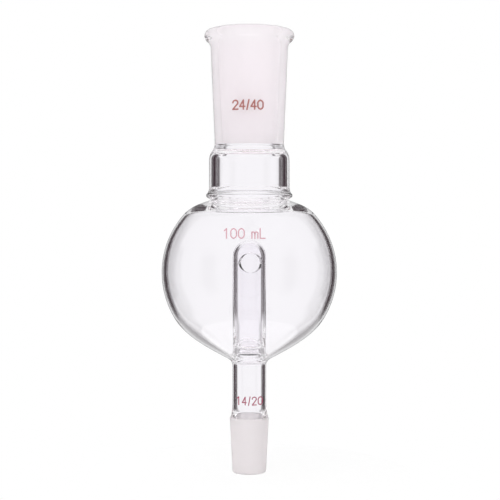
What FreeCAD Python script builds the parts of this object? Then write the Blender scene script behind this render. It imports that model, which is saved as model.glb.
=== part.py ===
import FreeCAD, Part
import math
import os

# Splash trap for a rotary evaporator, blown in borosilicate glass: a tapered socket on top,
# a short neck, a round bulb, and a closed-top vapour tube that rises inside the bulb from the
# stem of the tapered cone below.  It is built here from the blanks that are fused together,
# and the bulb, which is blown in one, as two halves that meet at its widest ring.
#
# Millimetres.  Z is the axis of the glass, and Z = 0 is the flat end of the cone below.
# The side hole of the vapour tube and the size marks face -Y.

V = FreeCAD.Vector

# ---- standard tapered joints ----------------------------------------------------------
TAPER = 0.1                  # change of diameter per length of grind, 1 in 10
CONE_D = 14.5                # cone below, size 14/20: diameter at its large end
CONE_GRIND = 20.0            # ... and length of its ground zone
CONE_TIP_WALL = 1.3          # wall at the thin end of the cone
CONE_TIP_ROUND = 0.9         # fire-polished outer edge of the thin end
CONE_CROWN = 0.6             # rounded top corner of the ground zone
CONE_SHOULDER = 5.4          # height over which the cone draws in to the stem
SOCKET_D = 24.0              # socket above, size 24/40: bore at its mouth
SOCKET_GRIND = 43.0          # length of the ground bore: 40 nominal and a lead of 3
SOCKET_MOUTH_WALL = 2.4      # wall under the rim
SOCKET_FOOT_WALL = 3.05      # wall at the narrow end of the grind
THROAT_STEP = 0.1            # the clear throat below the grind is this much wider in radius
THROAT_HEIGHT = 2.2          # clear throat, from the seam with the neck up to the grind
THROAT_ROUND = 0.9           # melted lower edge of the throat
THROAT_FLARE = 3.05          # height over which the throat widens to the bore of the neck
MOUTH_ROUND = 0.6            # inner edge of the rim

# ---- rim of the socket ----------------------------------------------------------------
RIM_OVERHANG = 2.35          # how far the rim stands out of the wall
RIM_TOP_ROUND = 2.0
RIM_HEIGHT = 4.05            # height of the bead, down to where its underside turns in
RIM_TUCK = 1.0               # how far the bead has come in there
RIM_BLEND = 2.6              # height of the hollow between the bead and the wall

# ---- neck -----------------------------------------------------------------------------
NECK_D = 30.0
NECK_WALL = 2.6
NECK_STRAIGHT = 10.1         # straight part between the seal's ridge and the shoulder
SHOULDER_HEIGHT = 6.5        # from the straight neck to the wall of the socket
RIDGE_STEP = 1.1             # the ridge above the bulb stands out of the neck by this
RIDGE_BLEND = 2.25           # height of the flare from the neck to the ridge
RIDGE_HEIGHT = 2.45          # from that flare down to the pinch on the bulb
RIDGE_CREST = 1.65           # height of the ridge's crest above the pinch
RIDGE_ROUND = 0.45           # depth of its rounded crest
PINCH_STEP = 0.9             # the pinch under the ridge lies inside the neck by this

# ---- bulb -----------------------------------------------------------------------------
BULB_D = 65.2
BULB_WALL = 1.6
SPHERE_TOP = 40.0            # the bulb is a true sphere up to this angle above its widest ring
SPHERE_FOOT = 30.0           # ... and down to this angle below it
BULB_SAG = 0.3               # the hollow sits this much high, so the floor is thicker
NECK_SINK = 2.4              # how far the neck's seal has sunk into the sphere
NECK_SEAT_SLOPE = 17.0       # slope of the glass around that seal, degrees from level
SEAT_LIP = 1.9               # rounded inner lip at that seal
FUNNEL_ANGLE = 62.0          # slope of the funnel above the stem, degrees from the axis
FLOOR_WALL = 2.3             # glass at the ring seal, measured along the axis

# ---- stem, ring seal and vapour tube --------------------------------------------------
STEM_D = 12.6
STEM_WALL = 1.2
STEM_LENGTH = 16.5
SEAL_STEP = 0.94             # the ring seal stands out of the wider tube by this
SEAL_ANGLE = 45.0            # slope of the outside where the stem meets the ring seal
TUBE_D = 12.4
TUBE_WALL = 1.2
TUBE_LENGTH = 44.5           # ring seal to the top of the dome
TUBE_LIP_D = 8.7             # bore of the thick lip above the ring seal
TUBE_LIP_HEIGHT = 4.35       # ring seal to the narrowest bore
TUBE_LIP_EDGE = 1.4          # height of the lip's rounded upper edge
TUBE_LIP_SLOPE = 20.0        # slope of that edge where it leaves the wall, degrees
TUBE_MENISCUS = 1.0          # height of the glass drawn up the tube from the bulb's floor
HOLE_D = 7.0                 # side hole for the vapour
HOLE_DROP = 8.4              # its centre below the top of the dome
HOLE_TURN = 5.0              # degrees that it looks away from -Y, towards +X
HOLE_LIP = 0.5               # radius of its fire-polished edges
HOLE_LIP_LIMIT = 0.45        # ... and the most that it takes of the wall

# ---- fired enamel size marks ----------------------------------------------------------
ENAMEL = 0.06                # thickness of the fired enamel
SOCKET_MARK = dict(height=3.2, width=1.8, gap=0.7, pen=0.55, middle_x=-0.5)
SOCKET_MARK_DROP = 29.0      # its centre below the rim
BULB_MARK = dict(height=3.4, width=1.9, gap=0.8, pen=0.42, middle_x=-1.7)
BULB_MARK_RISE = 14.6        # its centre above the bulb's centre
STEM_MARK = dict(height=2.9, width=1.45, gap=0.75, pen=0.36)
STEM_MARK_RISE = 7.3         # its centre above the cone's grind

# ---- sizes and levels that follow ------------------------------------------------------
cone_r = CONE_D / 2
cone_tip_r = cone_r - TAPER / 2 * CONE_GRIND
stem_r = STEM_D / 2
stem_bore_r = stem_r - STEM_WALL
stem_z = CONE_GRIND + CONE_SHOULDER
seal_z = stem_z + STEM_LENGTH

tube_r = TUBE_D / 2
tube_bore_r = tube_r - TUBE_WALL
tube_top_z = seal_z + TUBE_LENGTH
hole_z = tube_top_z - HOLE_DROP
floor_z = seal_z + FLOOR_WALL
seal_r = max(stem_r, tube_r) + SEAL_STEP
seal_bend_r = (seal_r - stem_r) / (1 - math.cos(math.radians(SEAL_ANGLE)))

bulb_r = BULB_D / 2
hollow_r = bulb_r - BULB_WALL
bulb_z = seal_z + bulb_r
hollow_z = bulb_z + BULB_SAG
hollow_waist_r = math.sqrt(hollow_r ** 2 - BULB_SAG ** 2)

neck_r = NECK_D / 2
neck_bore_r = neck_r - NECK_WALL
pinch_r = neck_r - PINCH_STEP
ridge_r = neck_r + RIDGE_STEP
pinch_z = bulb_z + math.sqrt(bulb_r ** 2 - pinch_r ** 2) - NECK_SINK
ridge_z = pinch_z + RIDGE_HEIGHT
neck_z = ridge_z + RIDGE_BLEND
shoulder_z = neck_z + NECK_STRAIGHT

socket_r = SOCKET_D / 2
socket_foot_r = socket_r - TAPER / 2 * SOCKET_GRIND
throat_r = socket_foot_r + THROAT_STEP
socket_wall_r = socket_foot_r + SOCKET_FOOT_WALL
socket_z = shoulder_z + SHOULDER_HEIGHT / 2
socket_wall_z = shoulder_z + SHOULDER_HEIGHT
grind_z = socket_z + THROAT_HEIGHT
rim_z = grind_z + SOCKET_GRIND
rim_neck_r = socket_r + SOCKET_MOUTH_WALL
rim_r = rim_neck_r + RIM_OVERHANG
rim_neck_z = rim_z - RIM_HEIGHT - RIM_BLEND
socket_seam_r = (neck_r + socket_wall_r) / 2


# ---- outlines in the (radius, height) plane --------------------------------------------
POLE_SHARE = 0.4             # spacing of a blend's poles, as a share of the way to its corner


def at(point):
    return V(point[0], 0, point[1])


def toward(angle):
    """Unit step at an angle in degrees from the radius, counter-clockwise."""
    return math.cos(math.radians(angle)), math.sin(math.radians(angle))


def slope(start, end):
    """Angle in degrees, from the radius, of the straight line from start to end."""
    return math.degrees(math.atan2(end[1] - start[1], end[0] - start[0]))


def on_circle(radius, centre_z, angle):
    """Point of a circle about (0, centre_z), at an angle in degrees from the radius."""
    step = toward(angle)
    return radius * step[0], centre_z + radius * step[1]


def crossing(p, p_angle, q, q_angle):
    """Where the straight line through p meets the straight line through q."""
    (px, pz), (qx, qz) = toward(p_angle), toward(q_angle)
    along = ((q[0] - p[0]) * qz - (q[1] - p[1]) * qx) / (px * qz - pz * qx)
    return p[0] + along * px, p[1] + along * pz


def line(end):
    return lambda start: Part.LineSegment(at(start), at(end)).toShape(), end


def arc(middle, end):
    return lambda start: Part.Arc(at(start), at(middle), at(end)).toShape(), end


def bend(end, leaving=None, arriving=None):
    """Arc to end, given the angle at which it leaves the last point or arrives at end."""
    def edge(start):
        chord_angle = slope(start, end)
        half_turn = chord_angle - leaving if arriving is None else arriving - chord_angle
        rise = math.dist(start, end) / 2 * math.tan(math.radians(half_turn) / 2)
        out = toward(chord_angle - 90)
        middle = ((start[0] + end[0]) / 2 + rise * out[0], (start[1] + end[1]) / 2 + rise * out[1])
        return Part.Arc(at(start), at(middle), at(end)).toShape()
    return edge, end


def near_poles(point, corner, bending):
    """Three poles of a fifth-degree Bezier curve that leaves a point towards the corner with a
    given curvature, positive to the left."""
    heading, pole_step = slope(point, corner), POLE_SHARE * math.dist(point, corner)
    along, left = toward(heading), toward(heading + 90)
    lift = 5 / 4 * bending * pole_step ** 2
    return [at((point[0] + n * pole_step * along[0] + up * left[0],
                point[1] + n * pole_step * along[1] + up * left[1]))
            for n, up in ((0, 0), (1, 0), (2, lift))]


def curve(corner, end, start_bending=0, end_bending=0):
    """Blend to end, tangent to the straight lines from both ends to the corner, that starts and
    ends with the curvature (1 / radius, positive to the left) of what it joins."""
    def edge(start):
        blend = Part.BezierCurve()
        blend.setPoles(near_poles(start, corner, start_bending)
                       + near_poles(end, corner, -end_bending)[::-1])
        return blend.toShape()
    return edge, end


def turned(start, *steps):
    """Solid of revolution about Z of the closed outline that the steps draw."""
    edges, here = [], start
    for make_edge, end in steps:
        edges.append(make_edge(here))
        here = end
    if here != start:
        edges.append(Part.LineSegment(at(here), at(start)).toShape())
    return Part.Face(Part.Wire(edges)).revolve(V(0, 0, 0), V(0, 0, 1), 360)


# ---- the blanks ------------------------------------------------------------------------
def cone_joint():
    """Ground cone 14/20 with the shoulder that draws in to the stem."""
    thin_end_r = cone_tip_r + TAPER / 2 * CONE_TIP_ROUND
    return turned(
        (cone_tip_r - CONE_TIP_WALL, 0),
        line((cone_tip_r - CONE_TIP_ROUND, 0)),
        bend((thin_end_r, CONE_TIP_ROUND), leaving=0),
        line((cone_r, CONE_GRIND)),
        bend((cone_r - CONE_CROWN / 2, CONE_GRIND + CONE_CROWN), leaving=90),
        bend((stem_r, stem_z), arriving=90),
        line((stem_bore_r, stem_z)))


def stem_tube():
    """Plain tube that flares at the top to meet the ring seal."""
    flare_z = seal_z - seal_bend_r * math.sin(math.radians(SEAL_ANGLE))
    return turned(
        (stem_bore_r, stem_z),
        line((stem_r, stem_z)),
        line((stem_r, flare_z)),
        bend((seal_r, seal_z), leaving=90),
        line((stem_bore_r, seal_z)))


def vapour_tube():
    """Tube with a domed top, a side hole, and a foot that is sealed into the bulb."""
    dome_z = tube_top_z - tube_r
    lip = (TUBE_LIP_D / 2, seal_z + TUBE_LIP_HEIGHT)
    tube = turned(
        (stem_bore_r, seal_z),
        line((seal_r, seal_z)),
        line((seal_r, floor_z)),
        bend((tube_r, floor_z + TUBE_MENISCUS), leaving=90 + FUNNEL_ANGLE),
        line((tube_r, dome_z)),
        arc(on_circle(tube_r, dome_z, 45), (0, tube_top_z)),
        line((0, tube_top_z - TUBE_WALL)),
        arc(on_circle(tube_bore_r, dome_z, 45), (tube_bore_r, dome_z)),
        line((tube_bore_r, lip[1] + TUBE_LIP_EDGE)),
        bend(lip, leaving=180 + TUBE_LIP_SLOPE),
        bend((stem_bore_r, seal_z), arriving=-90))
    look = V(math.sin(math.radians(HOLE_TURN)), -math.cos(math.radians(HOLE_TURN)), 0)
    drill = Part.makeCylinder(HOLE_D / 2, tube_r * 2, V(0, 0, hole_z), look)
    return polish_hole(tube.cut(drill).Solids[0], look)


def polish_hole(tube, look):
    """Round the inner and outer edge of the side hole, as the flame does."""
    def on_hole(edge):
        middle = edge.valueAt(sum(edge.ParameterRange) / 2) - V(0, 0, hole_z)
        off_axis = (middle - look * middle.dot(look)).Length
        return middle.dot(look) > 0 and math.isclose(off_axis, HOLE_D / 2, rel_tol=1e-3)
    rims = [edge for edge in tube.Edges if on_hole(edge)]
    return tube.makeFillet(min(HOLE_LIP, HOLE_LIP_LIMIT * TUBE_WALL), rims)


def bulb_bowl():
    """Lower half of the blown bulb, drawn down to a funnel at the ring seal."""
    seal_step, funnel_step = toward(SEAL_ANGLE), toward(FUNNEL_ANGLE)
    funnel = (seal_r + seal_bend_r * (seal_step[0] - funnel_step[0]),
              seal_z + seal_bend_r * (funnel_step[1] - seal_step[1]))
    funnel_slope = 90 - FUNNEL_ANGLE
    low = on_circle(bulb_r, bulb_z, -SPHERE_FOOT)
    hollow_low = on_circle(hollow_r, hollow_z, -SPHERE_FOOT)
    low_slope = 90 - SPHERE_FOOT
    floor = (seal_r, floor_z)
    return turned(
        (seal_r, seal_z),
        bend(funnel, leaving=90 - SEAL_ANGLE),
        curve(crossing(funnel, funnel_slope, low, low_slope), low, end_bending=1 / bulb_r),
        arc(on_circle(bulb_r, bulb_z, -SPHERE_FOOT / 2), (bulb_r, bulb_z)),
        line((hollow_waist_r, bulb_z)),
        arc(on_circle(hollow_r, hollow_z, -SPHERE_FOOT / 2), hollow_low),
        curve(crossing(hollow_low, low_slope, floor, funnel_slope), floor,
              start_bending=-1 / hollow_r))


def bulb_crown():
    """Upper half of the blown bulb, sunk in a little where the neck is sealed on."""
    high, hollow_high = on_circle(bulb_r, bulb_z, SPHERE_TOP), on_circle(hollow_r, hollow_z, SPHERE_TOP)
    high_slope = 90 + SPHERE_TOP
    pinch = (pinch_r, pinch_z)
    seat = (neck_bore_r + BULB_WALL, pinch_z - SEAT_LIP)
    return turned(
        (bulb_r, bulb_z),
        arc(on_circle(bulb_r, bulb_z, SPHERE_TOP / 2), high),
        curve(crossing(high, high_slope, pinch, -NECK_SEAT_SLOPE), pinch, start_bending=1 / bulb_r),
        line((neck_bore_r, pinch_z)),
        bend(seat, leaving=-90),
        curve(crossing(seat, -NECK_SEAT_SLOPE, hollow_high, high_slope), hollow_high,
              end_bending=-1 / hollow_r),
        arc(on_circle(hollow_r, hollow_z, SPHERE_TOP / 2), (hollow_waist_r, bulb_z)))


def neck_tube():
    """Heavy tube between the bulb and the socket, with the ridge that its seal left."""
    crest_z = pinch_z + RIDGE_CREST
    ridge_edge_r = ridge_r - RIDGE_ROUND
    return turned(
        (neck_bore_r, pinch_z),
        line((pinch_r, pinch_z)),
        line((ridge_edge_r, 2 * crest_z - ridge_z)),
        arc((ridge_r, crest_z), (ridge_edge_r, ridge_z)),
        bend((neck_r, neck_z), arriving=90),
        line((neck_r, shoulder_z)),
        bend((socket_seam_r, socket_z), leaving=90),
        line((throat_r, socket_z)),
        bend((throat_r + THROAT_ROUND, socket_z - THROAT_ROUND), leaving=-90),
        bend((neck_bore_r, socket_z - THROAT_FLARE), arriving=-90),
        line((neck_bore_r, neck_z)),
        arc((ridge_r - NECK_WALL, crest_z), (neck_bore_r, pinch_z)))


def socket_joint():
    """Ground socket 24/40 with a rolled rim and a clear throat."""
    wall_foot, wall_top = (socket_wall_r, socket_wall_z), (rim_neck_r, rim_neck_z)
    wall_slope = slope(wall_foot, wall_top)
    return turned(
        (throat_r, socket_z),
        line((socket_seam_r, socket_z)),
        bend(wall_foot, arriving=wall_slope),
        line(wall_top),
        bend((rim_r - RIM_TUCK, rim_z - RIM_HEIGHT), leaving=wall_slope),
        bend((rim_r, rim_z - RIM_TOP_ROUND), arriving=90),
        bend((rim_r - RIM_TOP_ROUND, rim_z), leaving=90),
        line((socket_r + MOUTH_ROUND, rim_z)),
        bend((socket_r - TAPER / 2 * MOUTH_ROUND, rim_z - MOUTH_ROUND), leaving=180),
        line((socket_foot_r, grind_z)))


# ---- size marks ------------------------------------------------------------------------
# Pen strokes in a box 1 wide and 1 high.  A pair of points is an arc through the first of
# them to the second.
GLYPHS = {
    "0": [[(0.5, 1), ((0.1, 0.85), (0, 0.5)), ((0.1, 0.15), (0.5, 0))],
          [(0.5, 1), ((0.9, 0.85), (1, 0.5)), ((0.9, 0.15), (0.5, 0))]],
    "1": [[(0.2, 0.78), (0.6, 1), (0.6, 0)]],
    "2": [[(0, 0.75), ((0.5, 1), (0.95, 0.62)), (0, 0), (1, 0)]],
    "4": [[(0.72, 0), (0.72, 1)], [(0.72, 1), (0, 0.3), (1, 0.3)]],
    "/": [[(0.1, -0.05), (0.9, 1.05)]],
    "m": [[(0, 0), (0, 0.65)],
          [(0, 0.4), ((0.25, 0.65), (0.5, 0.4)), (0.5, 0)],
          [(0.5, 0.4), ((0.75, 0.65), (1, 0.4)), (1, 0)]],
    "L": [[(0, 1), (0, 0), (0.9, 0)]],
    " ": [],
}
GLYPH_WIDTH = {" ": 0.6, "/": 0.5, "m": 1.1}     # the others are 1 wide


def straight_stroke(start, end, pen):
    """Face of a straight pen stroke with round ends."""
    along = (end - start).normalize() * (pen / 2)
    aside = V(-along.z, 0, along.x)
    outline = [Part.LineSegment(start + aside, end + aside),
               Part.Arc(end + aside, end + along, end - aside),
               Part.LineSegment(end - aside, start - aside),
               Part.Arc(start - aside, start - along, start + aside)]
    return Part.Face(Part.Wire([edge.toShape() for edge in outline]))


def stroke(points, left, low, width, height, pen):
    """Face of one pen stroke with round ends, in the XZ plane."""
    def place(point):
        return V(left + point[0] * width, 0, low + point[1] * height)
    if len(points) == 2:
        return straight_stroke(place(points[0]), place(points[1]), pen)
    edges, here = [], place(points[0])
    for step in points[1:]:
        if isinstance(step[0], tuple):
            middle, end = place(step[0]), place(step[1])
            edges.append(Part.Arc(here, middle, end).toShape())
        else:
            end = place(step)
            edges.append(Part.LineSegment(here, end).toShape())
        here = end
    return Part.Wire(edges).makeOffset2D(pen / 2, 0, True, False)


def size_mark(text, skin, middle_z, height, width, gap, pen, middle_x=0):
    """Fired enamel characters: each stroke cut out of a thin skin on the front of the glass."""
    widths = [GLYPH_WIDTH.get(letter, 1) * width for letter in text]
    left = middle_x - (sum(widths) + gap * (len(text) - 1)) / 2
    solids = []
    for letter, wide in zip(text, widths):
        strokes = [stroke(points, left, middle_z - height / 2, wide, height, pen)
                   for points in GLYPHS[letter]]
        left += wide + gap
        if strokes:
            block = strokes[0].extrude(V(0, -BULB_D, 0))
            for extra in strokes[1:]:
                block = block.fuse(extra.extrude(V(0, -BULB_D, 0)))
            solids += skin.common(block).removeSplitter().Solids
    return Part.makeCompound(solids)


def socket_size_mark():
    """24/40, in bold figures on the wall of the socket."""
    wall_foot, wall_top = (socket_wall_r, socket_wall_z), (rim_neck_r, rim_neck_z)
    skin = turned(wall_foot, line((wall_foot[0] + ENAMEL, wall_foot[1])),
                  line((wall_top[0] + ENAMEL, wall_top[1])), line(wall_top))
    return size_mark("24/40", skin, rim_z - SOCKET_MARK_DROP, **SOCKET_MARK)


def bulb_volume_mark():
    """100 mL, in thin figures on the upper front of the bulb."""
    outer_r = bulb_r + ENAMEL
    skin = turned(
        (bulb_r, bulb_z),
        line((outer_r, bulb_z)),
        arc(on_circle(outer_r, bulb_z, 30), on_circle(outer_r, bulb_z, 60)),
        line(on_circle(bulb_r, bulb_z, 60)),
        arc(on_circle(bulb_r, bulb_z, 30), (bulb_r, bulb_z)))
    return size_mark("100 mL", skin, bulb_z + BULB_MARK_RISE, **BULB_MARK)


def cone_size_mark():
    """14/20, in thin figures on the stem above the cone."""
    outer_r, top_z = stem_r + ENAMEL, stem_z + STEM_LENGTH / 2
    skin = turned((stem_r, stem_z), line((outer_r, stem_z)), line((outer_r, top_z)),
                  line((stem_r, top_z)))
    return size_mark("14/20", skin, CONE_GRIND + STEM_MARK_RISE, **STEM_MARK)


# ---- build and write -------------------------------------------------------------------
os.makedirs("parts", exist_ok=True)
for make in (socket_joint, neck_tube, bulb_crown, bulb_bowl, vapour_tube, stem_tube, cone_joint,
             socket_size_mark, bulb_volume_mark, cone_size_mark):
    shape = make()
    box = shape.optimalBoundingBox()
    print(f"{make.__name__}: {len(shape.Solids)} solid(s), {shape.Volume:.2f} mm3, "
          f"Z {box.ZMin:.2f} to {box.ZMax:.2f}, valid {shape.isValid()}")
    shape.exportStep(f"parts/{make.__name__}.step")
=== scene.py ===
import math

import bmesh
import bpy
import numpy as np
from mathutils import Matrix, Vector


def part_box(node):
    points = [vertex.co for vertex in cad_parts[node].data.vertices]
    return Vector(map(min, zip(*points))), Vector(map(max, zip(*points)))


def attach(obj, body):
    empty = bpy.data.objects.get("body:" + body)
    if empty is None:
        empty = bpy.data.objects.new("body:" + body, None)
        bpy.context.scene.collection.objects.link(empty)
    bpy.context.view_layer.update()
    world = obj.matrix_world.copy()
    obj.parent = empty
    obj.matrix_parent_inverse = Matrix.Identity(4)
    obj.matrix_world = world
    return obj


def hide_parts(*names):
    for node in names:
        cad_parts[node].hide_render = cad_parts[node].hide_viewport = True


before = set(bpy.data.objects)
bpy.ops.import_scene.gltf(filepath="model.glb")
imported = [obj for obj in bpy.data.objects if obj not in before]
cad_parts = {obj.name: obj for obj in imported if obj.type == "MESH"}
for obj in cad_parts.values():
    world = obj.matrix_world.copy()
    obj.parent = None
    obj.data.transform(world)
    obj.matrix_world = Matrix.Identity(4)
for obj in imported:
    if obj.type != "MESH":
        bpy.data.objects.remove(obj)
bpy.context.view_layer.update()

# %% [markdown]
# # A splash trap blown in borosilicate glass
# The trap sits between an evaporating flask and the vapour duct of a rotary evaporator. A
# glassblower fuses it from six blanks: a ground socket, a heavy neck, a round bulb, a closed-top
# vapour tube with a side hole, a plain stem and a ground cone. Glass has no colour of its own to
# draw it with. What the eye sees is how each wall bends the light around it, so every wall here
# has its real thickness and both of its surfaces.

MM = 0.001


def reach(node):
    """Lowest level, highest level and widest radius of a round CAD node, in millimetres."""
    low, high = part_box(node)
    return low.z / MM, high.z / MM, high.x / MM


stem_z, cone_r = reach("cone_joint")[1:]
seal_z, seal_r = reach("stem_tube")[1:]
tube_top_z = reach("vapour_tube")[1]
pinch_z, bulb_r = reach("bulb_crown")[1:]
socket_z, ridge_r = reach("neck_tube")[1:]
rim_z, rim_r = reach("socket_joint")[1:]
print(f"seams at Z {stem_z:.2f}, {seal_z:.2f}, {pinch_z:.2f} and {socket_z:.2f} mm")
print(f"rim at Z {rim_z:.2f} mm; radii: cone {cone_r:.2f}, seal {seal_r:.2f}, bulb {bulb_r:.2f}, "
      f"ridge {ridge_r:.2f}, rim {rim_r:.2f}")

# %% [markdown]
# ## One way to draw every blank
# Each blank is round, so it is an outline carried about the Z axis. The outline is drawn the way
# a glassworker reads a template: straight runs, rounds that leave or arrive at a known angle,
# and soft blends. A Spin modifier or a curve with a screw would do it too, but an outline worked
# out as an array keeps the two walls and every fire-polished edge at its exact size, and lets
# neighbouring blanks share the very same ring of points at a seam.

# %% Steps of an outline, each a run of points in the (radius, height) plane
STEP_LENGTH = 0.5            # longest step along a curved outline, mm
CURVE_STEPS = 10             # ... and the fewest steps in a curve
POLE_SHARE = 0.4             # spacing of a blend's poles, as a share of the way to its corner


def toward(angle):
    """Unit step at an angle in degrees from the radius, counter-clockwise."""
    return np.array([math.cos(math.radians(angle)), math.sin(math.radians(angle))])


def shares(length):
    """Even shares of a curve, from just after its start to its end."""
    count = max(CURVE_STEPS, math.ceil(length / STEP_LENGTH))
    return np.arange(1, count + 1)[:, None] / count


def line(end, finish="polished"):
    """Straight run to end."""
    return lambda start: (np.array([end]), finish)


def bend(end, leaving=None, arriving=None, finish="polished"):
    """Round to end: a circle's arc, whose heading turns evenly from the start to the end."""
    def points(start):
        chord = np.subtract(end, start)
        chord_angle = math.degrees(math.atan2(chord[1], chord[0]))
        half_turn = chord_angle - leaving if arriving is None else arriving - chord_angle
        half_turn = (half_turn + 180) % 360 - 180
        turn = math.radians(half_turn)
        t = shares(np.hypot(*chord) * (turn / math.sin(turn)))
        along = np.sin(turn * t) / math.sin(turn)
        heading = np.radians(chord_angle) - turn + turn * t
        ways = np.hstack([np.cos(heading), np.sin(heading)])
        return start + np.hypot(*chord) * along * ways, finish
    return points


def near_poles(point, corner, bending):
    """Three poles p, p + a T and p + 2 a T + 5/4 k a^2 N of a fifth-degree Bezier curve, which
    make it leave p towards the corner (T, with N to its left) with curvature k."""
    way = np.subtract(corner, point)
    step = POLE_SHARE * way
    left = np.array([-way[1], way[0]]) / np.hypot(*way)
    return [point, point + step, point + 2 * step + 5 / 4 * bending * (step @ step) * left]


def blend(corner, end, start_bending=0, end_bending=0, finish="polished"):
    """Soft blend, tangent at both ends to the straight lines that meet at the corner, with the
    curvature (1 / radius, positive to the left) of its neighbour at each end. The points are
    sums of the six poles, each times C(5, k) t^k (1 - t)^(5 - k)."""
    def points(start):
        t = shares(np.hypot(*np.subtract(end, start)))
        poles = near_poles(start, corner, start_bending)
        poles += near_poles(end, corner, -end_bending)[::-1]
        k = np.arange(6)
        weights = np.array([1, 5, 10, 10, 5, 1]) * t ** k * (1 - t) ** (5 - k)
        return weights @ np.array(poles), finish
    return points


def outline(start, *steps):
    """All the points of a closed outline, and the finish of the run that starts at each one."""
    points, finishes = [np.array([start], float)], []
    for step in steps:
        run, finish = step(points[-1][-1])
        points.append(run)
        finishes += [finish] * len(run)
    points = np.concatenate(points)
    if np.allclose(points[0], points[-1]):
        return points[:-1], finishes
    return points, finishes + ["polished"]


def crossing(p, p_angle, q, q_angle):
    """Where the straight line through p meets the straight line through q."""
    directions = np.column_stack([toward(p_angle), -toward(q_angle)])
    along_p = np.linalg.solve(directions, np.subtract(q, p))[0]
    return np.array(p) + along_p * toward(p_angle)


def on_circle(radius, centre_z, angle):
    """Point of a circle about (0, centre_z), at an angle in degrees from the radius."""
    return radius * toward(angle) + (0, centre_z)


print("outline tools ready")

# %% [markdown]
# ## The glass itself
# All of it is borosilicate 3.3, the glass of laboratory ware: clear, hard, with an index of
# refraction of 1.47. Where the flame has touched it, it is as smooth as a liquid. The two joints
# are ground with silicon carbide grit, which leaves a surface of tiny pits that scatters light and
# looks milky. All are the same Principled shader. Polished glass lets all its light pass. A grind
# is rough and lets only a share pass through; the rest is scattered in its base colour, which
# gives the eye the milky white. Roughness alone would look like a frosted window, too clear.
# Thick laboratory glass shows a trace of violet-grey against white, so no tint is quite neutral.

# %% One helper for nodes, one for colour, and the glass surfaces
GLASS_IOR = 1.47
GRIND_ROUGHNESS = 0.6


def linear(hex_code):
    """sRGB hex such as "f4f2f7" as a linear colour with alpha 1."""
    srgb = np.array([int(hex_code[i:i + 2], 16) for i in (0, 2, 4)]) / 255
    return (*np.where(srgb <= 0.04045, srgb / 12.92, ((srgb + 0.055) / 1.055) ** 2.4), 1.0)


def add_node(tree, kind, settings=None, stops=(), **links):
    """A node with its properties and input values set, the (place, brightness) stops of a colour
    ramp, and inputs linked from given sockets, where _0 is the first input."""
    node = tree.nodes.new(kind)
    for _ in stops[2:]:
        node.color_ramp.elements.new(1.0)
    for stop, (place, brightness) in zip(node.color_ramp.elements if stops else (), stops):
        stop.position = place
        stop.color = (brightness, brightness, brightness, 1)
    for name, value in (settings or {}).items():
        if isinstance(name, int) or name in node.inputs:
            node.inputs[name].default_value = value
        else:
            setattr(node, name, value)
    for name, socket in links.items():
        tree.links.new(socket, node.inputs[int(name[1:])])
    return node


def glass(name, tint, roughness=0.0, clear=1.0, solid=1.0):
    """Clear or ground glass: light passes through the surface and bends at it, except for the
    share that a grind scatters back. At solid = 0 there is no surface to see at all."""
    material = bpy.data.materials.new(name)
    material.use_nodes = True
    shader = material.node_tree.nodes["Principled BSDF"]
    shader.inputs["Base Color"].default_value = linear(tint)
    shader.inputs["Roughness"].default_value = roughness
    shader.inputs["IOR"].default_value = GLASS_IOR
    shader.inputs["Transmission Weight"].default_value = clear
    shader.inputs["Alpha"].default_value = solid
    return material


# Flame-polished glass is mirror-smooth: the eye sees only how it bends what is behind it.
POLISHED = glass("borosilicate_flame_polished", "fdfcfe")
# The bore's grind is seen through clear glass, even and milky.
GROUND_BORE = glass("borosilicate_ground_bore", "fbf6f8", GRIND_ROUGHNESS, clear=0.3)
# The cone's grind is outside, on a thin wall: dry and milky, and it lets more light through.
GROUND_CONE = glass("borosilicate_ground_cone", "fdf8f9", GRIND_ROUGHNESS, clear=0.5)
# Where two blanks are fused, glass meets glass, and light goes on as if nothing were there.
FUSED = glass("borosilicate_fused_seam", "ffffff", solid=0.0)
print("glass:", ", ".join(m.name for m in (POLISHED, GROUND_BORE, GROUND_CONE, FUSED)))

# %% [markdown]
# ## From an outline to a blank
# The outline is carried around the axis in 288 steps of 1.25 degrees, the same for every blank,
# so that neighbours meet point for point. A point on the axis becomes a single pole. Curves are
# shaded smooth, and only the square edges of the seams stay sharp.

# %% Grids of points into one closed mesh
TURN_STEPS = 288
SHARP = math.radians(35)     # edges sharper than this stay sharp
WELD = 1e-4                  # points nearer than this are one, mm


def ring_quads(rings, around):
    """Quads between neighbouring rings of points: (ring, step), (ring, next step), (next ring,
    next step) and (next ring, step). The last step of a ring is next to its first."""
    ring = np.arange(rings - 1)[:, None] * around
    step = np.arange(around)
    beside = np.roll(step, -1)
    return np.stack([ring + step, ring + beside, ring + around + beside, ring + around + step],
                    axis=-1).reshape(-1, 4)


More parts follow.
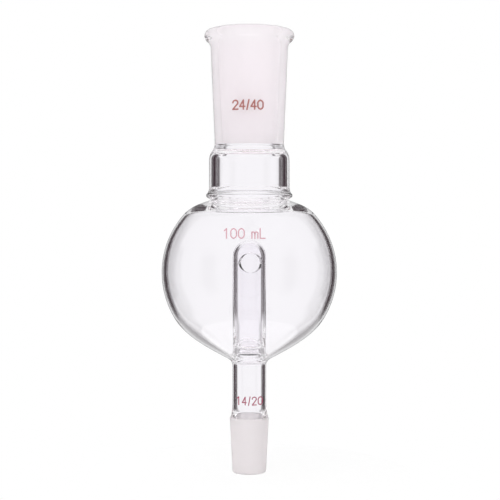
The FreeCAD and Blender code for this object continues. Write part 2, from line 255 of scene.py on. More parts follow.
def make_piece(name, grids, surfaces, nodes):
    """One closed mesh that stands for CAD nodes. Each grid is (points in mm, quads, the finish
    of each quad). Shared rows of points are welded, quads on the axis become triangles, and
    the faces are turned outwards."""
    grid_points, grid_quads, grid_finishes = zip(*grids)
    points, finishes = np.concatenate(grid_points), np.concatenate(grid_finishes)
    offsets = np.cumsum([0] + [len(own_points) for own_points in grid_points])
    quads = np.concatenate([own_quads + offset for own_quads, offset in zip(grid_quads, offsets)])
    _, first, welded = np.unique(np.round(points / WELD).astype(np.int64), axis=0,
                                 return_index=True, return_inverse=True)
    quads = welded.reshape(-1)[quads]
    faces = [list(dict.fromkeys(quad)) for quad in quads.tolist()]
    kept = [k for k, face in enumerate(faces) if len(face) > 2]
    mesh = bpy.data.meshes.new(name)
    mesh.from_pydata(points[first] * MM, [], [faces[k] for k in kept])
    for material in surfaces.values():
        mesh.materials.append(material)
    order = list(surfaces)
    mesh.polygons.foreach_set("material_index", [order.index(finish) for finish in finishes[kept]])
    mesh.polygons.foreach_set("use_smooth", np.ones(len(kept), bool))
    shell = bmesh.new()
    shell.from_mesh(mesh)
    bmesh.ops.recalc_face_normals(shell, faces=shell.faces)
    open_edges = sum(not edge.is_manifold for edge in shell.edges)
    shell.to_mesh(mesh)
    shell.free()
    mesh.set_sharp_from_angle(angle=SHARP)
    piece = bpy.data.objects.new(name, mesh)
    bpy.context.scene.collection.objects.link(piece)
    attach(piece, "root")
    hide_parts(*nodes)
    print(f"{name}: {len(kept)} faces, {open_edges} open edges")


# %% Carry an outline around the axis
def turned_grid(points, finishes):
    """x = r cos a, y = r sin a, z = z for every angle a and every point (r, z) of the outline."""
    angles = np.radians(np.arange(TURN_STEPS) * 360 / TURN_STEPS)
    radius, height = points[:, 0], points[:, 1]
    ring = np.stack([np.outer(np.cos(angles), radius), np.outer(np.sin(angles), radius),
                     np.tile(height, (TURN_STEPS, 1))], axis=-1)
    index = np.arange(TURN_STEPS * len(points)).reshape(TURN_STEPS, -1)
    after, beside = np.roll(index, -1, axis=1), np.roll(index, -1, axis=0)
    quads = np.stack([index, beside, np.roll(beside, -1, axis=1), after], axis=-1)
    return ring.reshape(-1, 3), quads.reshape(-1, 4), np.tile(finishes, TURN_STEPS)


def turned(name, drawn, surfaces, slot, *nodes):
    """A blank made of one outline, turned right round."""
    make_piece(name, [turned_grid(*drawn)], surfaces, nodes)


# %% [markdown]
# ## The cone that fits the flask
# A 14/20 cone is 14.5 mm across at its wide end and tapers 1 mm in every 10 over 20 mm. Its
# outside is ground, and its thin end is fire-polished round. The grinding stops at a rounded
# crown, above which clear glass draws in to the stem.

# %% Ground cone 14/20
TAPER_HALF = 0.05            # change of radius per length of grind, 1 in 10 on the diameter
CONE_GRIND = 20.0
CONE_TIP_WALL, CONE_TIP_ROUND, CONE_CROWN = 1.3, 0.9, 0.6
STEM_R, THIN_WALL = 6.3, 1.2

cone_tip_r = cone_r - TAPER_HALF * CONE_GRIND
stem_bore_r = STEM_R - THIN_WALL
turned("ground_cone_14_20", outline(
    (cone_tip_r - CONE_TIP_WALL, 0),
    line((cone_tip_r - CONE_TIP_ROUND, 0)),
    bend((cone_tip_r + TAPER_HALF * CONE_TIP_ROUND, CONE_TIP_ROUND), leaving=0, finish="ground"),
    line((cone_r, CONE_GRIND), finish="ground"),
    bend((cone_r - CONE_CROWN / 2, CONE_GRIND + CONE_CROWN), leaving=90, finish="ground"),
    bend((STEM_R, stem_z), arriving=90),
    line((stem_bore_r, stem_z), finish="fused")),
    {"polished": POLISHED, "ground": GROUND_CONE, "fused": FUSED},
    "ground_cone_glass", "cone_joint")

# %% [markdown]
# ## The stem
# A plain tube of 12.6 mm. At the top it flares to 45 degrees, where the flame has drawn the stem,
# the bulb and the vapour tube together in one ring seal.

# %% Stem
SEAL_ANGLE = 45.0
seal_bend_r = (seal_r - STEM_R) / (1 - toward(SEAL_ANGLE)[0])
turned("stem", outline(
    (stem_bore_r, stem_z),
    line((STEM_R, stem_z), finish="fused"),
    line((STEM_R, seal_z - seal_bend_r * toward(SEAL_ANGLE)[1])),
    bend((seal_r, seal_z), leaving=90),
    line((stem_bore_r, seal_z), finish="fused")),
    {"polished": POLISHED, "fused": FUSED}, "clear_glass", "stem_tube")

# %% [markdown]
# ## The bulb
# The bulb is blown, so it is a sphere with a thin wall that is a little thicker at the floor,
# where the glass ran down. It is drawn to a funnel at the ring seal, and it has sunk in a little
# where the heavy neck was pressed onto it.

# %% Bulb
BULB_WALL, BULB_SAG = 1.6, 0.3
FLOOR_WALL, FUNNEL_ANGLE = 2.3, 62.0
NECK_R, NECK_WALL, PINCH_STEP = 15.0, 2.6, 0.9
NECK_SEAT_SLOPE, SEAT_LIP = 17.0, 1.9
SPHERE_TOP, SPHERE_FOOT = 40.0, 30.0   # the sphere reaches this many degrees above and below

floor_z = seal_z + FLOOR_WALL
hollow_r = bulb_r - BULB_WALL
bulb_z = seal_z + bulb_r
hollow_z = bulb_z + BULB_SAG
neck_bore_r = NECK_R - NECK_WALL
pinch_r = NECK_R - PINCH_STEP

seal_step, funnel_step = toward(SEAL_ANGLE), toward(FUNNEL_ANGLE)
funnel = (seal_r + seal_bend_r * (seal_step[0] - funnel_step[0]),
          seal_z + seal_bend_r * (funnel_step[1] - seal_step[1]))
funnel_slope = 90 - FUNNEL_ANGLE
low_slope, high_slope = 90 - SPHERE_FOOT, 90 + SPHERE_TOP
sphere_ends = (-SPHERE_FOOT, SPHERE_TOP)
low, high = (on_circle(bulb_r, bulb_z, angle) for angle in sphere_ends)
hollow_low, hollow_high = (on_circle(hollow_r, hollow_z, angle) for angle in sphere_ends)
pinch, floor_edge = (pinch_r, pinch_z), (seal_r, floor_z)
seat = (neck_bore_r + BULB_WALL, pinch_z - SEAT_LIP)
turned("bulb", outline(
    (seal_r, seal_z),
    bend(funnel, leaving=90 - SEAL_ANGLE),
    blend(crossing(funnel, funnel_slope, low, low_slope), low, end_bending=1 / bulb_r),
    bend(high, leaving=low_slope),
    blend(crossing(high, high_slope, pinch, -NECK_SEAT_SLOPE), pinch, start_bending=1 / bulb_r),
    line((neck_bore_r, pinch_z), finish="fused"),
    bend(seat, leaving=-90),
    blend(crossing(seat, -NECK_SEAT_SLOPE, hollow_high, high_slope), hollow_high,
          end_bending=-1 / hollow_r),
    bend(hollow_low, leaving=high_slope - 180),
    blend(crossing(hollow_low, low_slope, floor_edge, funnel_slope), floor_edge,
          start_bending=-1 / hollow_r),
    line((seal_r, seal_z), finish="fused")),
    {"polished": POLISHED, "fused": FUSED}, "clear_glass", "bulb_crown", "bulb_bowl")

# %% [markdown]
# ## The neck
# The neck is a heavy tube with a wall of 2.6 mm. Where it was pressed onto the bulb, the soft
# glass swelled into a ridge over a narrow pinch. At the top it draws in to the socket.

# %% Neck
RIDGE_CREST, RIDGE_HEIGHT, RIDGE_ROUND, RIDGE_BLEND = 1.65, 2.45, 0.45, 2.25
NECK_STRAIGHT, SHOULDER_HEIGHT = 10.1, 6.5
SOCKET_R, SOCKET_GRIND, SOCKET_FOOT_WALL = 12.0, 43.0, 3.05
THROAT_STEP, THROAT_HEIGHT, THROAT_ROUND, THROAT_FLARE = 0.1, 2.2, 0.9, 3.05

crest_z, ridge_z = pinch_z + RIDGE_CREST, pinch_z + RIDGE_HEIGHT
neck_z = ridge_z + RIDGE_BLEND
shoulder_z = neck_z + NECK_STRAIGHT
ridge_edge_r = ridge_r - RIDGE_ROUND
socket_foot_r = SOCKET_R - TAPER_HALF * SOCKET_GRIND
throat_r = socket_foot_r + THROAT_STEP
socket_wall_r = socket_foot_r + SOCKET_FOOT_WALL
socket_seam_r = (NECK_R + socket_wall_r) / 2
ridge_round_angle = 2 * math.degrees(math.atan2(RIDGE_ROUND, ridge_z - crest_z))
inner_ridge_angle = 2 * math.degrees(math.atan2(ridge_r - NECK_R, neck_z - crest_z))
turned("neck", outline(
    (neck_bore_r, pinch_z),
    line((pinch_r, pinch_z), finish="fused"),
    line((ridge_edge_r, 2 * crest_z - ridge_z)),
    bend((ridge_edge_r, ridge_z), leaving=90 - ridge_round_angle),
    bend((NECK_R, neck_z), arriving=90),
    line((NECK_R, shoulder_z)),
    bend((socket_seam_r, socket_z), leaving=90),
    line((throat_r, socket_z), finish="fused"),
    bend((throat_r + THROAT_ROUND, socket_z - THROAT_ROUND), leaving=-90),
    bend((neck_bore_r, socket_z - THROAT_FLARE), arriving=-90),
    line((neck_bore_r, neck_z)),
    bend((neck_bore_r, pinch_z), leaving=-90 + inner_ridge_angle)),
    {"polished": POLISHED, "fused": FUSED}, "clear_glass", "neck_tube")

# %% [markdown]
# ## The socket
# A 24/40 socket is 24 mm wide at the mouth and tapers 1 mm in 10. The bore is ground, the
# outside and the rolled rim are not, so the milky grind is seen through clear glass.

# %% Ground socket 24/40
SOCKET_MOUTH_WALL, MOUTH_ROUND = 2.4, 0.6
RIM_TOP_ROUND, RIM_HEIGHT, RIM_TUCK, RIM_BLEND = 2.0, 4.05, 1.0, 2.6

grind_z = socket_z + THROAT_HEIGHT
rim_neck_r = SOCKET_R + SOCKET_MOUTH_WALL
wall_foot = (socket_wall_r, shoulder_z + SHOULDER_HEIGHT)
wall_top = (rim_neck_r, rim_z - RIM_HEIGHT - RIM_BLEND)
wall_slope = math.degrees(math.atan2(wall_top[1] - wall_foot[1], wall_top[0] - wall_foot[0]))
turned("ground_socket_24_40", outline(
    (throat_r, socket_z),
    line((socket_seam_r, socket_z), finish="fused"),
    bend(wall_foot, arriving=wall_slope),
    line(wall_top),
    bend((rim_r - RIM_TUCK, rim_z - RIM_HEIGHT), leaving=wall_slope),
    bend((rim_r, rim_z - RIM_TOP_ROUND), arriving=90),
    bend((rim_r - RIM_TOP_ROUND, rim_z), leaving=90),
    line((SOCKET_R + MOUTH_ROUND, rim_z)),
    bend((SOCKET_R - TAPER_HALF * MOUTH_ROUND, rim_z - MOUTH_ROUND), leaving=180),
    line((socket_foot_r, grind_z), finish="ground")),
    {"polished": POLISHED, "ground": GROUND_BORE, "fused": FUSED},
    "ground_socket_glass", "socket_joint")

# %% [markdown]
# ## The vapour tube
# The tube rises from the ring seal to a closed dome, and its one side hole lets the vapour out
# while the dome turns liquid back. Its round parts are an outline carried about the axis like
# the rest. The hole isn't round about that axis, so the wall around it is a second kind of grid:
# rings that start at the lip of the hole and spread out to a patch of the wall, on the outside
# and on the inside, joined through the hole by its melted edge. A Boolean would cut the same
# hole, but it leaves long thin faces that smooth glass shows as streaks.

# %% Vapour tube: its sizes, and a domed wall as a function of the turn and the way up
TUBE_R = 6.2
TUBE_BORE_R = TUBE_R - THIN_WALL
LIP_BORE_R, LIP_HEIGHT, LIP_EDGE, LIP_SLOPE = 4.35, 4.35, 1.4, 20.0
MENISCUS = 1.0
HOLE_R, HOLE_DROP, HOLE_TURN, HOLE_LIP = 3.5, 8.4, 5.0, 0.5
PATCH_TURNS = 120            # steps around the axis that the patch around the hole takes
PATCH_RISE, PATCH_ROWS = 6.0, 40   # its reach above and below the hole, mm, and its rows
PATCH_RINGS, LIP_STEPS, DOME_STEPS = 14, 8, 24

dome_z = tube_top_z - TUBE_R
hole_z = tube_top_z - HOLE_DROP
foot_z = floor_z + MENISCUS
patch_ways = np.linspace(hole_z - PATCH_RISE, hole_z + PATCH_RISE, PATCH_ROWS + 1)
patch_turns = np.radians(np.linspace(-0.5, 0.5, PATCH_TURNS + 1) * PATCH_TURNS * 360 / TURN_STEPS)


def wall_outline(radius, way):
    """(Radius, height) of a domed wall. Up to the dome, way is the height; beyond it the wall
    bends over a half sphere, and way grows by the length of its arc."""
    tip = np.clip((way - dome_z) / radius, 0, math.pi / 2)
    height = np.minimum(way, dome_z) + radius * np.sin(tip)
    return np.stack([radius * np.cos(tip), height], axis=-1)


def wall_place(radius, x, z):
    """The turn and the way of the wall's front point that has this x and this height."""
    tip = np.arcsin(np.clip((z - dome_z) / radius, 0, 1))
    return np.arcsin(x / (radius * np.cos(tip))), np.minimum(z, dome_z) + radius * tip


def toward_viewer(radius, x, z):
    """How far in front of the axis the wall is at this x and this height."""
    return np.sqrt(radius ** 2 - x ** 2 - np.clip(z - dome_z, 0, None) ** 2)


print(f"side hole {2 * HOLE_R} mm wide, its centre at Z {hole_z:.1f} mm")

# %% The rings around the side hole
lap = [np.stack(np.broadcast_arrays(*side), axis=-1) for side in (
    (patch_turns[:-1], patch_ways[0]), (patch_turns[-1], patch_ways[:-1]),
    (patch_turns[:0:-1], patch_ways[-1]), (patch_turns[0], patch_ways[:0:-1]))]
patch_edge = np.concatenate(lap)
around = np.arctan2(patch_edge[:, 1] - hole_z, patch_edge[:, 0] * TUBE_R)


def at_front(turn, radius, height):
    """Points at a turn away from the hole's middle, as (x, y, z)."""
    angle = turn + math.radians(HOLE_TURN)
    return np.stack([radius * np.sin(angle), -radius * np.cos(angle), height], axis=-1)


def patch_rings(radius):
    """Rings on a wall, from the lip of the hole out to the edge of the patch: straight lines in
    turn and way between the two."""
    lip_r = HOLE_R + HOLE_LIP
    lip_x, lip_z = lip_r * np.cos(around), hole_z + lip_r * np.sin(around)
    lip = np.stack(wall_place(radius, lip_x, lip_z), axis=-1)
    share = np.linspace(0, 1, PATCH_RINGS + 1)[:, None, None]
    place = (1 - share) * lip + share * patch_edge
    wall = wall_outline(radius, place[..., 1])
    return at_front(place[..., 0], wall[..., 0], wall[..., 1])


def lip_rings(radius, inward):
    """Rings over the melted edge: a quarter round of radius HOLE_LIP that leaves the wall
    smoothly and ends square to it, inside the hole."""
    bite = np.radians(np.linspace(0, 90, LIP_STEPS + 1))[1:, None]
    ring_r = HOLE_R + HOLE_LIP * (1 - np.sin(bite))
    x, z = ring_r * np.cos(around), hole_z + ring_r * np.sin(around)
    front = toward_viewer(radius, x, z) - inward * HOLE_LIP * (1 - np.cos(bite))
    return at_front(np.arctan2(x, front), np.hypot(x, front), z)


rings = np.concatenate([patch_rings(TUBE_R)[::-1], lip_rings(TUBE_R, 1),
                        lip_rings(TUBE_BORE_R, -1)[::-1], patch_rings(TUBE_BORE_R)])
hole_quads = ring_quads(len(rings), len(around))
hole_grid = rings.reshape(-1, 3), hole_quads, np.full(len(hole_quads), "polished")
print(f"{len(rings)} rings of {len(around)} points around the hole")


# %% The tube's walls, left open where the rings go
def domed(radius, low_z, down=False):
    """Run up a domed wall from low_z to its pole, or down it; the patch's rows are marked."""
    pole_way = dome_z + radius * math.pi / 2
    ways = np.concatenate([[low_z], patch_ways,
                           np.linspace(patch_ways[-1], pole_way, DOME_STEPS)[1:]])
    finish = np.array(["polished"] + ["patch"] * PATCH_ROWS + ["polished"] * (DOME_STEPS - 1))
    wall = wall_outline(radius, ways)
    wall[-1, 0] = 0
    return (wall[::-1], finish[::-1]) if down else (wall, finish)


up, up_finish = domed(TUBE_R, foot_z)
down, down_finish = domed(TUBE_BORE_R, seal_z + LIP_HEIGHT + LIP_EDGE, down=True)
foot, foot_finish = outline(
    (LIP_BORE_R, seal_z + LIP_HEIGHT),
    bend((stem_bore_r, seal_z), arriving=-90),
    line((seal_r, seal_z), finish="fused"),
    line((seal_r, floor_z), finish="fused"),
    bend((TUBE_R, foot_z), leaving=90 + FUNNEL_ANGLE))
lip_edge, lip_finish = bend((LIP_BORE_R, seal_z + LIP_HEIGHT), leaving=180 + LIP_SLOPE)(down[-1])
tube_points = np.concatenate([foot, up[1:], down, lip_edge[:-1]])
tube_finish = np.concatenate([foot_finish[:-1], up_finish, ["polished"], down_finish,
                              [lip_finish] * len(lip_edge)])
points, quads, finishes = turned_grid(tube_points, tube_finish)
step_of_face = np.repeat(np.arange(TURN_STEPS), len(tube_points))
hole_step = round((HOLE_TURN - 90) * TURN_STEPS / 360) % TURN_STEPS
from_hole = (step_of_face - hole_step + TURN_STEPS // 2) % TURN_STEPS - TURN_STEPS // 2
beside_hole = (from_hole >= -PATCH_TURNS // 2) & (from_hole < PATCH_TURNS // 2)
solid = ~((finishes == "patch") & beside_hole)
finishes = np.where(finishes == "patch", "polished", finishes)
make_piece("vapour_tube_with_side_hole", [(points, quads[solid], finishes[solid]), hole_grid],
           {"polished": POLISHED, "fused": FUSED}, ["vapour_tube"])

# %% [markdown]
# ## The size marks
# The makers of such glass print its joint sizes and its capacity in ceramic ink and fire it on,
# which leaves a dull red enamel a few hundredths of a millimetre thick, paler where the ink is
# thin. Text objects would be quick, but their outlines are flat; here each pen stroke is a ribbon
# with round ends, laid point by point on the curve of the glass.

# %% The enamel, and the pen strokes of each character
STROKE_STEPS = 28            # points along a stroke ...
CAP_STEPS = 6                # ... and along each of its round ends
# Section of a stroke, as shares of half the pen's width and of the enamel's thickness
EDGE = np.array([(-1, 0), (-1, 0.6), (-0.8, 1), (0, 1), (0.8, 1), (1, 0.6), (1, 0)])
ENAMEL_MM = 0.06             # thickness of the fired ink
ENAMEL_ROUGHNESS = 0.35      # fired ink keeps a soft gloss


def enamel(name, colour):
    """Fired ceramic ink: an opaque, slightly glossy skin."""
    material = bpy.data.materials.new(name)
    material.use_nodes = True
    shader = material.node_tree.nodes["Principled BSDF"]
    shader.inputs["Base Color"].default_value = linear(colour)
    shader.inputs["Roughness"].default_value = ENAMEL_ROUGHNESS
    return material


# Strokes in a box 1 wide and 1 high: straight ones as two points, arcs as three that they pass.
GLYPHS = {
    "0": [((0.5, 1), (0.1, 0.85), (0, 0.5)), ((0, 0.5), (0.1, 0.15), (0.5, 0)),
          ((0.5, 1), (0.9, 0.85), (1, 0.5)), ((1, 0.5), (0.9, 0.15), (0.5, 0))],
    "1": [((0.2, 0.78), (0.6, 1)), ((0.6, 1), (0.6, 0))],
    "2": [((0, 0.75), (0.5, 1), (0.95, 0.62)), ((0.95, 0.62), (0, 0)), ((0, 0), (1, 0))],
    "4": [((0.72, 0), (0.72, 1)), ((0.72, 1), (0, 0.3)), ((0, 0.3), (1, 0.3))],
    "/": [((0.1, -0.05), (0.9, 1.05))],
    "m": [((0, 0), (0, 0.65)), ((0, 0.4), (0.25, 0.65), (0.5, 0.4)), ((0.5, 0.4), (0.5, 0)),
          ((0.5, 0.4), (0.75, 0.65), (1, 0.4)), ((1, 0.4), (1, 0))],
    "L": [((0, 1), (0, 0)), ((0, 0), (0.9, 0))],
    " ": [],
}
GLYPH_WIDTH = {" ": 0.6, "/": 0.5, "m": 1.1}


def through(points, t):
    """Points at shares t of the straight line through two points, or the circle through three."""
    if len(points) == 2:
        return (1 - t) * points[0] + t * points[1]
    a, b, c = (complex(*point) for point in points)
    w = (c - a) / (b - a)
    centre = (b - a) * (w - abs(w) ** 2) / (2j * w.imag) + a
    sweep = np.angle((b - centre) / (a - centre)) + np.angle((c - centre) / (b - centre))
    on = centre + (a - centre) * np.exp(1j * sweep * t[:, 0])
    return np.stack([on.real, on.imag], axis=-1)


def ribbon(points, pen):
    """Flat ribbon of a pen's width along a stroke, as (x, z, height) with round ends: beyond each
    end the stroke runs straight on for half a pen, and its half width falls off as a circle."""
    t = np.linspace(0, 1, STROKE_STEPS)[:, None]
    path = through(points, t)
    ways = np.gradient(path, axis=0)
    ways /= np.linalg.norm(ways, axis=1, keepdims=True)
    cap = np.radians(np.linspace(0, 90, CAP_STEPS + 1))[1:, None]
    path = np.concatenate([path[0] - ways[0] * pen / 2 * np.sin(cap)[::-1], path,
                           path[-1] + ways[-1] * pen / 2 * np.sin(cap)])
    half = pen / 2 * np.concatenate([np.cos(cap)[::-1], np.ones((STROKE_STEPS, 1)), np.cos(cap)])
    ways = np.concatenate([np.repeat(ways[:1], CAP_STEPS, 0), ways,
                           np.repeat(ways[-1:], CAP_STEPS, 0)])
    aside = np.stack([-ways[:, 1], ways[:, 0]], axis=-1)
    flat = path[:, None, :] + aside[:, None, :] * (half[:, None] * EDGE[:, :1])
    return np.concatenate([flat, np.broadcast_to(EDGE[:, 1:], (*flat.shape[:2], 1))], axis=-1)


def size_mark(name, text, node, on_glass, colour, middle_x, middle_z, height, width, gap, pen):
    """The characters side by side, each stroke lifted onto the glass: on_glass gives how far in
    front of the axis the glass is at x and z, and the ribbon's height is added to that."""
    widths = [GLYPH_WIDTH.get(letter, 1) * width for letter in text]
    left, grids = middle_x - (sum(widths) + gap * (len(text) - 1)) / 2, []
    for letter, wide in zip(text, widths):
        for stroke in GLYPHS[letter]:
            placed = np.array(stroke) * (wide, height) + (left, middle_z - height / 2)
            flat = ribbon(placed, pen)
            x, z = flat[..., 0], flat[..., 1]
            points = np.stack([x, -on_glass(x, z) - flat[..., 2] * ENAMEL_MM, z], axis=-1)
            quads = ring_quads(*flat.shape[:2])
            grids.append((points.reshape(-1, 3), quads, np.full(len(quads), "enamel")))
        left += wide + gap
    make_piece(name, grids, {"enamel": enamel(name + "_enamel", colour)}, [node])


# %% The three marks on the glass
SOCKET_MARK_DROP = 29.0      # middle of the figures under the rim, mm
BULB_MARK_RISE = 14.6        # ... over the middle of the bulb
STEM_MARK_RISE = 7.3         # ... over the end of the cone's grind


def on_socket(x, z):
    """The socket's wall is a straight cone: its radius runs evenly from its foot to its top."""
    share = (z - wall_foot[1]) / (wall_top[1] - wall_foot[1])
    return np.sqrt((wall_foot[0] + share * (wall_top[0] - wall_foot[0])) ** 2 - x ** 2)


def on_bulb(x, z):
    """The bulb is a sphere there."""
    return np.sqrt(bulb_r ** 2 - x ** 2 - (z - bulb_z) ** 2)


def on_stem(x, z):
    """The stem is a plain tube, the same at every height z."""
    return np.sqrt(STEM_R ** 2 - x ** 2) + 0 * z


size_mark("socket_size_24_40", "24/40", "socket_size_mark", on_socket, "b0706a",
          middle_x=-0.5, middle_z=rim_z - SOCKET_MARK_DROP, height=3.2, width=1.8, gap=0.7,
          pen=0.55)
size_mark("bulb_capacity_100_mL", "100 mL", "bulb_volume_mark", on_bulb, "d3a3ae",
          middle_x=-1.7, middle_z=bulb_z + BULB_MARK_RISE, height=3.4, width=1.9, gap=0.8,
          pen=0.42)
size_mark("cone_size_14_20", "14/20", "cone_size_mark", on_stem, "a8405f",
          middle_x=0.0, middle_z=CONE_GRIND + STEM_MARK_RISE, height=2.9, width=1.45, gap=0.75,
          pen=0.36)

# %% [markdown]
# ## The camera
# The camera stands level with the upper part of the bulb and looks straight ahead, so upright
# edges stay upright. The glass is brought to the middle of the frame with the lens shift instead
# of a tilt. Light that passes through many walls needs many bounces, and the light that a grind
# scatters inside a wall needs more than usual too.

# %% Camera, and how far a ray may go
CAMERA_PLACE = (0.00026, -0.45, 0.0903)      # metres
CAMERA_LENS, CAMERA_SHIFT, NEAREST_SEEN = 86.8, -0.04, 0.01
CLEAR_BOUNCES, SCATTERED_BOUNCES = 32, 12

scene = bpy.context.scene
scene.view_settings.view_transform = "Standard"
camera = bpy.data.objects.new("camera", bpy.data.cameras.new("camera"))
scene.collection.objects.link(camera)
scene.camera = camera
camera.location = CAMERA_PLACE
camera.rotation_euler = (math.radians(90), 0, 0)
camera.data.lens = CAMERA_LENS
camera.data.shift_y = CAMERA_SHIFT
camera.data.clip_start = NEAREST_SEEN
scene.cycles.max_bounces = CLEAR_BOUNCES
scene.cycles.diffuse_bounces = SCATTERED_BOUNCES
scene.cycles.glossy_bounces = CLEAR_BOUNCES
scene.cycles.transmission_bounces = CLEAR_BOUNCES
print(f"camera {-CAMERA_PLACE[1] / MM:.0f} mm in front, {CAMERA_PLACE[2] / MM:.0f} mm high")

# %% [markdown]
# ## The studio
# Glass shows its shape by the dark edges that its walls bend into view, so it is lit the way
# glass is photographed: white straight behind it and above it, and dark to either side. The
# pattern belongs to the room and not to the camera. From the side and the back the glass is seen
# against its paler parts, and its edges are softer there.
#
# Each kind of ray meets its own world:
# - what the camera sees directly, past the glass, is plain white;
# - what it sees through clear glass is the pattern;
# - what lights the floor, the enamel and the outside of a grind is even, at strength 1;
# - what a surface mirrors is a quarter of that, so that reflections don't veil the dark edges;
# - light that a grind has scattered and that leaves through a wall again meets 2.4. It is a stage
#   light, not a property of the glass: in a room of strength 1 the ground bore is a dull grey.

# %% Directions: degrees away from straight behind the glass, and how high
world = bpy.data.worlds.new("studio")
scene.world = world
world.use_nodes = True
tree = world.node_tree
direction = add_node(tree, "ShaderNodeTexCoord").outputs["Generated"]
split = add_node(tree, "ShaderNodeSeparateXYZ", _0=direction)
side = add_node(tree, "ShaderNodeMath", {"operation": "ABSOLUTE"}, _0=split.outputs["X"])
azimuth = add_node(tree, "ShaderNodeMath", {"operation": "ARCTAN2"}, _0=side.outputs[0],
                   _1=split.outputs["Y"])
turned_away = add_node(tree, "ShaderNodeMath", {"operation": "DIVIDE", 1: math.pi},
                       _0=azimuth.outputs[0]).outputs[0]
rise = add_node(tree, "ShaderNodeMath", {"operation": "ARCSINE"}, _0=split.outputs["Z"])
rise = add_node(tree, "ShaderNodeMath", {"operation": "DIVIDE", 1: math.pi}, _0=rise.outputs[0])
rise = add_node(tree, "ShaderNodeMath", {"operation": "ADD", 1: 0.5}, _0=rise.outputs[0]).outputs[0]
print("a ray's turn away from the back and its rise are shares of 180 degrees")

# %% The pattern that clear glass bends into view
# (degrees away from straight behind, brightness), level with the glass and below it
LEVEL_FIELD = [(0, 1), (16, 1), (20, 0), (46, 0), (49, 0.15), (60, 0.15), (66, 0.9), (106, 0.9),
               (112, 0.5), (128, 0.5), (134, 0.9), (180, 0.9)]
LOW_FIELD = [(0, 1), (9, 1), (13, 0.45), (40, 0.45), (44, 0.95), (180, 0.95)]
LOW_FULL, LOW_START = -20, -16       # degrees of rise between which the low field fades in
TOP_START, TOP_FULL = 24, 34         # ... and between which the white ceiling does
DARK_SIDE, WHITE = (0.02, 0, 0.008, 1), (1, 1, 1, 1)


def places(stops, zero=0.0):
    """Stops in degrees as shares of a half turn, counted from the share that is zero degrees."""
    return [(zero + degrees / 180, brightness) for degrees, brightness in stops]


level = add_node(tree, "ShaderNodeValToRGB", stops=places(LEVEL_FIELD), _0=turned_away).outputs[0]
below = add_node(tree, "ShaderNodeValToRGB", stops=places(LOW_FIELD), _0=turned_away).outputs[0]
under = add_node(tree, "ShaderNodeValToRGB", _0=rise, stops=places(
    [(-90, 1), (LOW_FULL, 1), (LOW_START, 0), (90, 0)], zero=0.5)).outputs[0]
over = add_node(tree, "ShaderNodeValToRGB", _0=rise, stops=places(
    [(-90, 0), (TOP_START, 0), (TOP_FULL, 1), (90, 1)], zero=0.5)).outputs[0]
lower = add_node(tree, "ShaderNodeMix", {"data_type": "RGBA"},
                 _0=under, _6=level, _7=below).outputs[2]
around_glass = add_node(tree, "ShaderNodeMix", {"data_type": "RGBA", 7: WHITE}, _0=over,
                        _6=lower).outputs[2]
tinted = add_node(tree, "ShaderNodeMix", {"data_type": "RGBA", 6: DARK_SIDE, 7: WHITE},
                  _0=around_glass).outputs[2]
print(f"pattern of {len(LEVEL_FIELD)} and {len(LOW_FIELD)} stops")

# %% What each kind of ray meets
EXTRA_INSIDE = 1.4           # added to the even light of 1 for light scattered inside the glass
MIRROR_CUT = -0.75           # taken from it for reflections

paths = add_node(tree, "ShaderNodeLightPath")
scattered = add_node(tree, "ShaderNodeMath", {"operation": "MINIMUM", 1: 1.0},
                     _0=paths.outputs["Diffuse Depth"])
through_glass = add_node(tree, "ShaderNodeMath", {"operation": "SUBTRACT", "use_clamp": True},
                         _0=paths.outputs["Is Transmission Ray"], _1=scattered.outputs[0])
inside_light = add_node(tree, "ShaderNodeMath",
                        {"operation": "MULTIPLY_ADD", 1: EXTRA_INSIDE, 2: 1.0},
                        _0=paths.outputs["Is Transmission Ray"])
studio_light = add_node(tree, "ShaderNodeMath", {"operation": "MULTIPLY_ADD", 1: MIRROR_CUT},
                        _0=paths.outputs["Is Glossy Ray"], _2=inside_light.outputs[0])
lit = add_node(tree, "ShaderNodeMix", {"data_type": "RGBA"}, _0=through_glass.outputs[0],
               _6=studio_light.outputs[0], _7=tinted).outputs[2]
seen = add_node(tree, "ShaderNodeMix", {"data_type": "RGBA", 7: WHITE},
                _0=paths.outputs["Is Camera Ray"], _6=lit).outputs[2]
tree.links.new(seen, tree.nodes["Background"].inputs["Color"])
print(f"scattered inside the glass {1 + EXTRA_INSIDE:.1f}, mirrored {1 + MIRROR_CUT:.2f}, others 1")

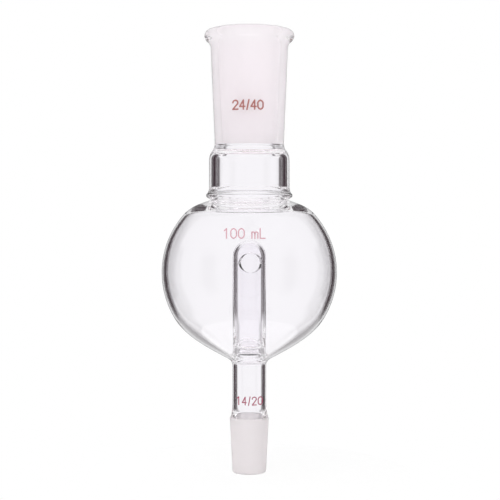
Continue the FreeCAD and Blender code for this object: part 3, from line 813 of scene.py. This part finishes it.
# %% [markdown]
# ## Floor and lamp
# The floor is a small disc of white card. A wide one would be seen through the lower limb of the
# bulb as a grey band. To the camera it glows nearly as white as the backdrop, and the share that
# doesn't glow keeps the shadow of the glass. One large soft lamp, above and to the left, gives
# that shadow. It isn't seen in the glass, where it would put a hard square.

# %% Floor and one soft lamp from above
FLOOR_R = 0.06
FLOOR_STEP = 3               # degrees between the points of its edge
CARD_ROUGHNESS, CARD_GLOW = 0.9, 0.9
LAMP_SIZE, LAMP_WATTS = 0.5, 1.2
LAMP_PLACE, LAMP_TURNS = (-0.25, -0.3, 0.7), (28, -16, 0)

angles = np.radians(np.arange(0, 360, FLOOR_STEP))
card_edge = np.stack([FLOOR_R * np.cos(angles), FLOOR_R * np.sin(angles), 0 * angles], axis=-1)
floor_mesh = bpy.data.meshes.new("floor")
floor_mesh.from_pydata(card_edge, [], [list(range(len(angles)))])
floor = bpy.data.objects.new("floor", floor_mesh)
scene.collection.objects.link(floor)
paper = bpy.data.materials.new("white_card")
paper.use_nodes = True
tree = paper.node_tree
card = tree.nodes["Principled BSDF"]
card.inputs["Base Color"].default_value = linear("fafafa")
card.inputs["Roughness"].default_value = CARD_ROUGHNESS
glow = add_node(tree, "ShaderNodeEmission", {"Color": WHITE, "Strength": 1.0})
paths = add_node(tree, "ShaderNodeLightPath")
mostly = add_node(tree, "ShaderNodeMath", {"operation": "MULTIPLY", 1: CARD_GLOW},
                  _0=paths.outputs["Is Camera Ray"])
mix = add_node(tree, "ShaderNodeMixShader", _0=mostly.outputs[0], _1=card.outputs[0],
               _2=glow.outputs[0])
tree.links.new(mix.outputs[0], tree.nodes["Material Output"].inputs["Surface"])
floor_mesh.materials.append(paper)

lamp = bpy.data.objects.new("soft_lamp", bpy.data.lights.new("soft_lamp", "AREA"))
lamp.data.size = LAMP_SIZE
lamp.data.energy = LAMP_WATTS
lamp.visible_glossy = False
lamp.visible_transmission = False
lamp.location = LAMP_PLACE
lamp.rotation_euler = [math.radians(turn) for turn in LAMP_TURNS]
scene.collection.objects.link(lamp)
print(f"floor {2 * FLOOR_R / MM:.0f} mm across, lamp {LAMP_PLACE[2] / MM:.0f} mm up")
